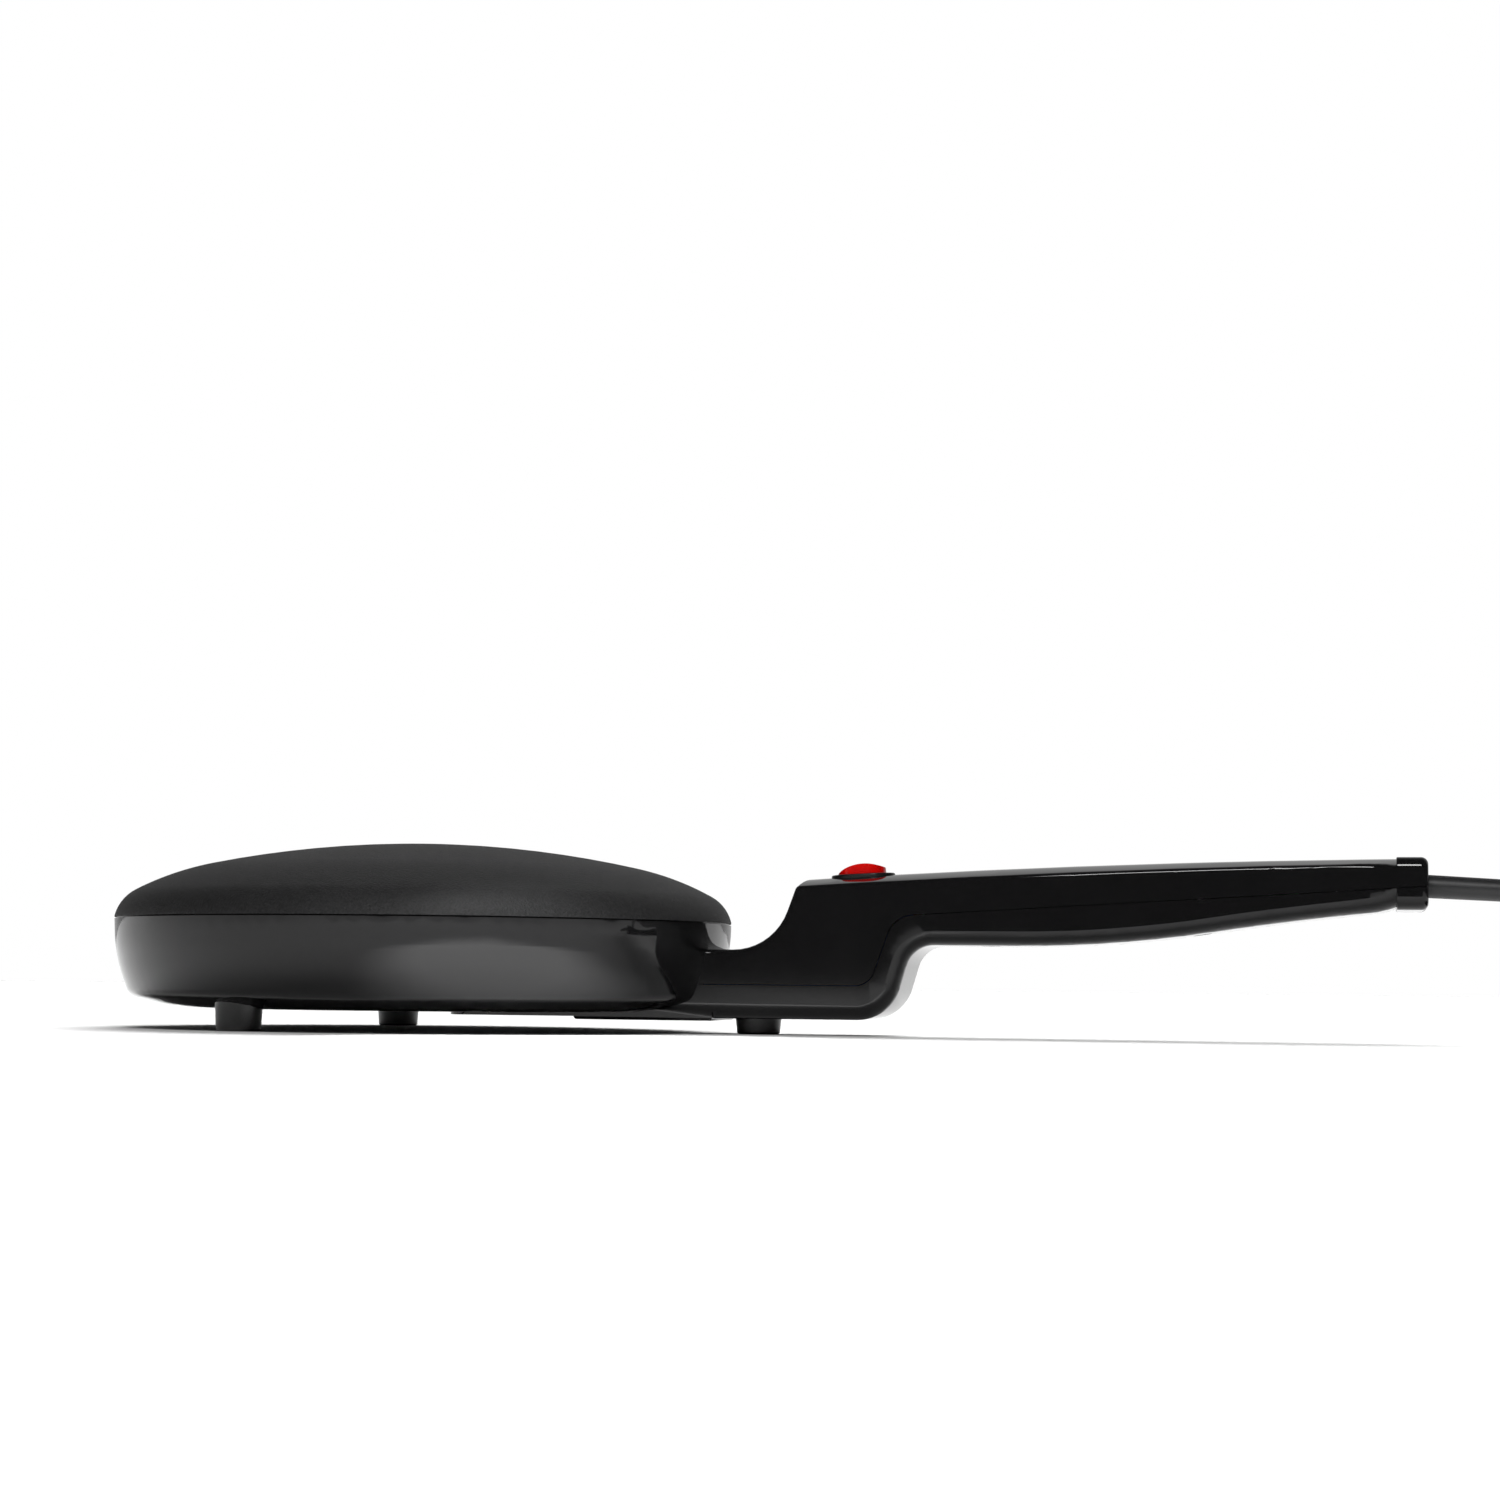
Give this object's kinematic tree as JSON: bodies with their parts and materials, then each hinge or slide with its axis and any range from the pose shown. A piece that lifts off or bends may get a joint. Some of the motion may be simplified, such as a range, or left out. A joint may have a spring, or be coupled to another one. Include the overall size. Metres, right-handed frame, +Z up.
{
  "type": "crepe maker",
  "caption": "Electric dip-type crepe maker: domed non-stick plate on a shallow bowl, raised handle with a red rocker switch, short feet, and a coiled mains lead with a plug.",
  "frame": {"origin": "on the table under the middle of the appliance's length, measured without the mains lead", "axes": "+X from the plate towards the handle's end, +Y to the left as seen from the plate looking along the handle, +Z up"},
  "size_m": [0.557, 0.2043, 0.0604],
  "materials": {
    "coated_plate": "fine-grained matt non-stick coat on cast aluminium",
    "housing_plastic": "polished black moulding",
    "inner_plastic": "plain black moulding",
    "bezel_plastic": "satin black moulding",
    "red_plastic": "bright red polished plastic",
    "foot_rubber": "matt black rubber",
    "cord_sheath": "satin black sheath",
    "plug_plastic": "satin black moulding",
    "plated_steel": "zinc-plated steel",
    "sheath_steel": "dull sheathed heater tube",
    "contact_brass": "plain brass",
    "ceramic": "unglazed ceramic",
    "wire_brown": "heat-proof wire sleeve",
    "wire_blue": "heat-proof wire sleeve",
    "wire_green": "heat-proof wire sleeve",
    "glass_sleeve": "woven glass sleeve"
  },
  "bodies": {
    "housing": {"upper_housing": "housing_plastic", "lower_housing": "housing_plastic", "cooking_plate": "coated_plate", "heating_element": "sheath_steel", "terminal_beads": "ceramic", "terminal_pins": "plated_steel", "element_clamps": "plated_steel", "clamp_screws": "plated_steel", "thermostat": "ceramic", "thermostat_bracket": "plated_steel", "thermostat_screws": "plated_steel", "thermostat_blades": "contact_brass", "thermal_fuse": "plated_steel", "fuse_sleeve": "glass_sleeve", "fuse_clip": "plated_steel", "fuse_screw": "plated_steel", "earth_tag": "contact_brass", "earth_screw": "plated_steel", "heat_shield": "plated_steel", "plate_screws": "plated_steel", "front_foot_left": "foot_rubber", "front_foot_right": "foot_rubber", "neck_foot": "foot_rubber", "housing_screws": "plated_steel", "switch_frame": "bezel_plastic", "switch_blades": "contact_brass", "cord_clamp": "inner_plastic", "cord_clamp_screws": "plated_steel", "strain_relief": "cord_sheath", "cord_inner_end": "cord_sheath", "power_cord": "cord_sheath", "cord_coil": "cord_sheath", "cord_tail": "cord_sheath", "cord_tie": "inner_plastic", "plug_body": "plug_plastic", "plug_pins": "plated_steel", "live_wire": "wire_brown", "switched_wire": "wire_brown", "neutral_wire": "wire_blue", "earth_wire": "wire_green", "fuse_lead": "wire_brown", "element_lead": "wire_brown", "crimp_sleeves": "contact_brass"},
    "rocker": {"switch_rocker": "red_plastic", "switch_plunger": "inner_plastic", "switch_spring": "plated_steel"},
    "lever": {"contact_lever": "contact_brass"}
  },
  "joints": [
    {"name": "rocker_tilt", "type": "hinge", "parent": "housing", "child": "rocker", "pos_m": [0.0353, 0, 0.04845], "axis": [0, 1, 0], "range_deg": [0, 12]},
    {"name": "lever_tilt", "type": "hinge", "parent": "housing", "child": "lever", "pos_m": [0.0357, 0, 0.04106], "axis": [0, 1, 0], "range_deg": [-16, 0]}
  ],
  "couplings": [
    {"joint": "lever_tilt", "follows": "rocker_tilt", "ratio": -1.3333}
  ]
}
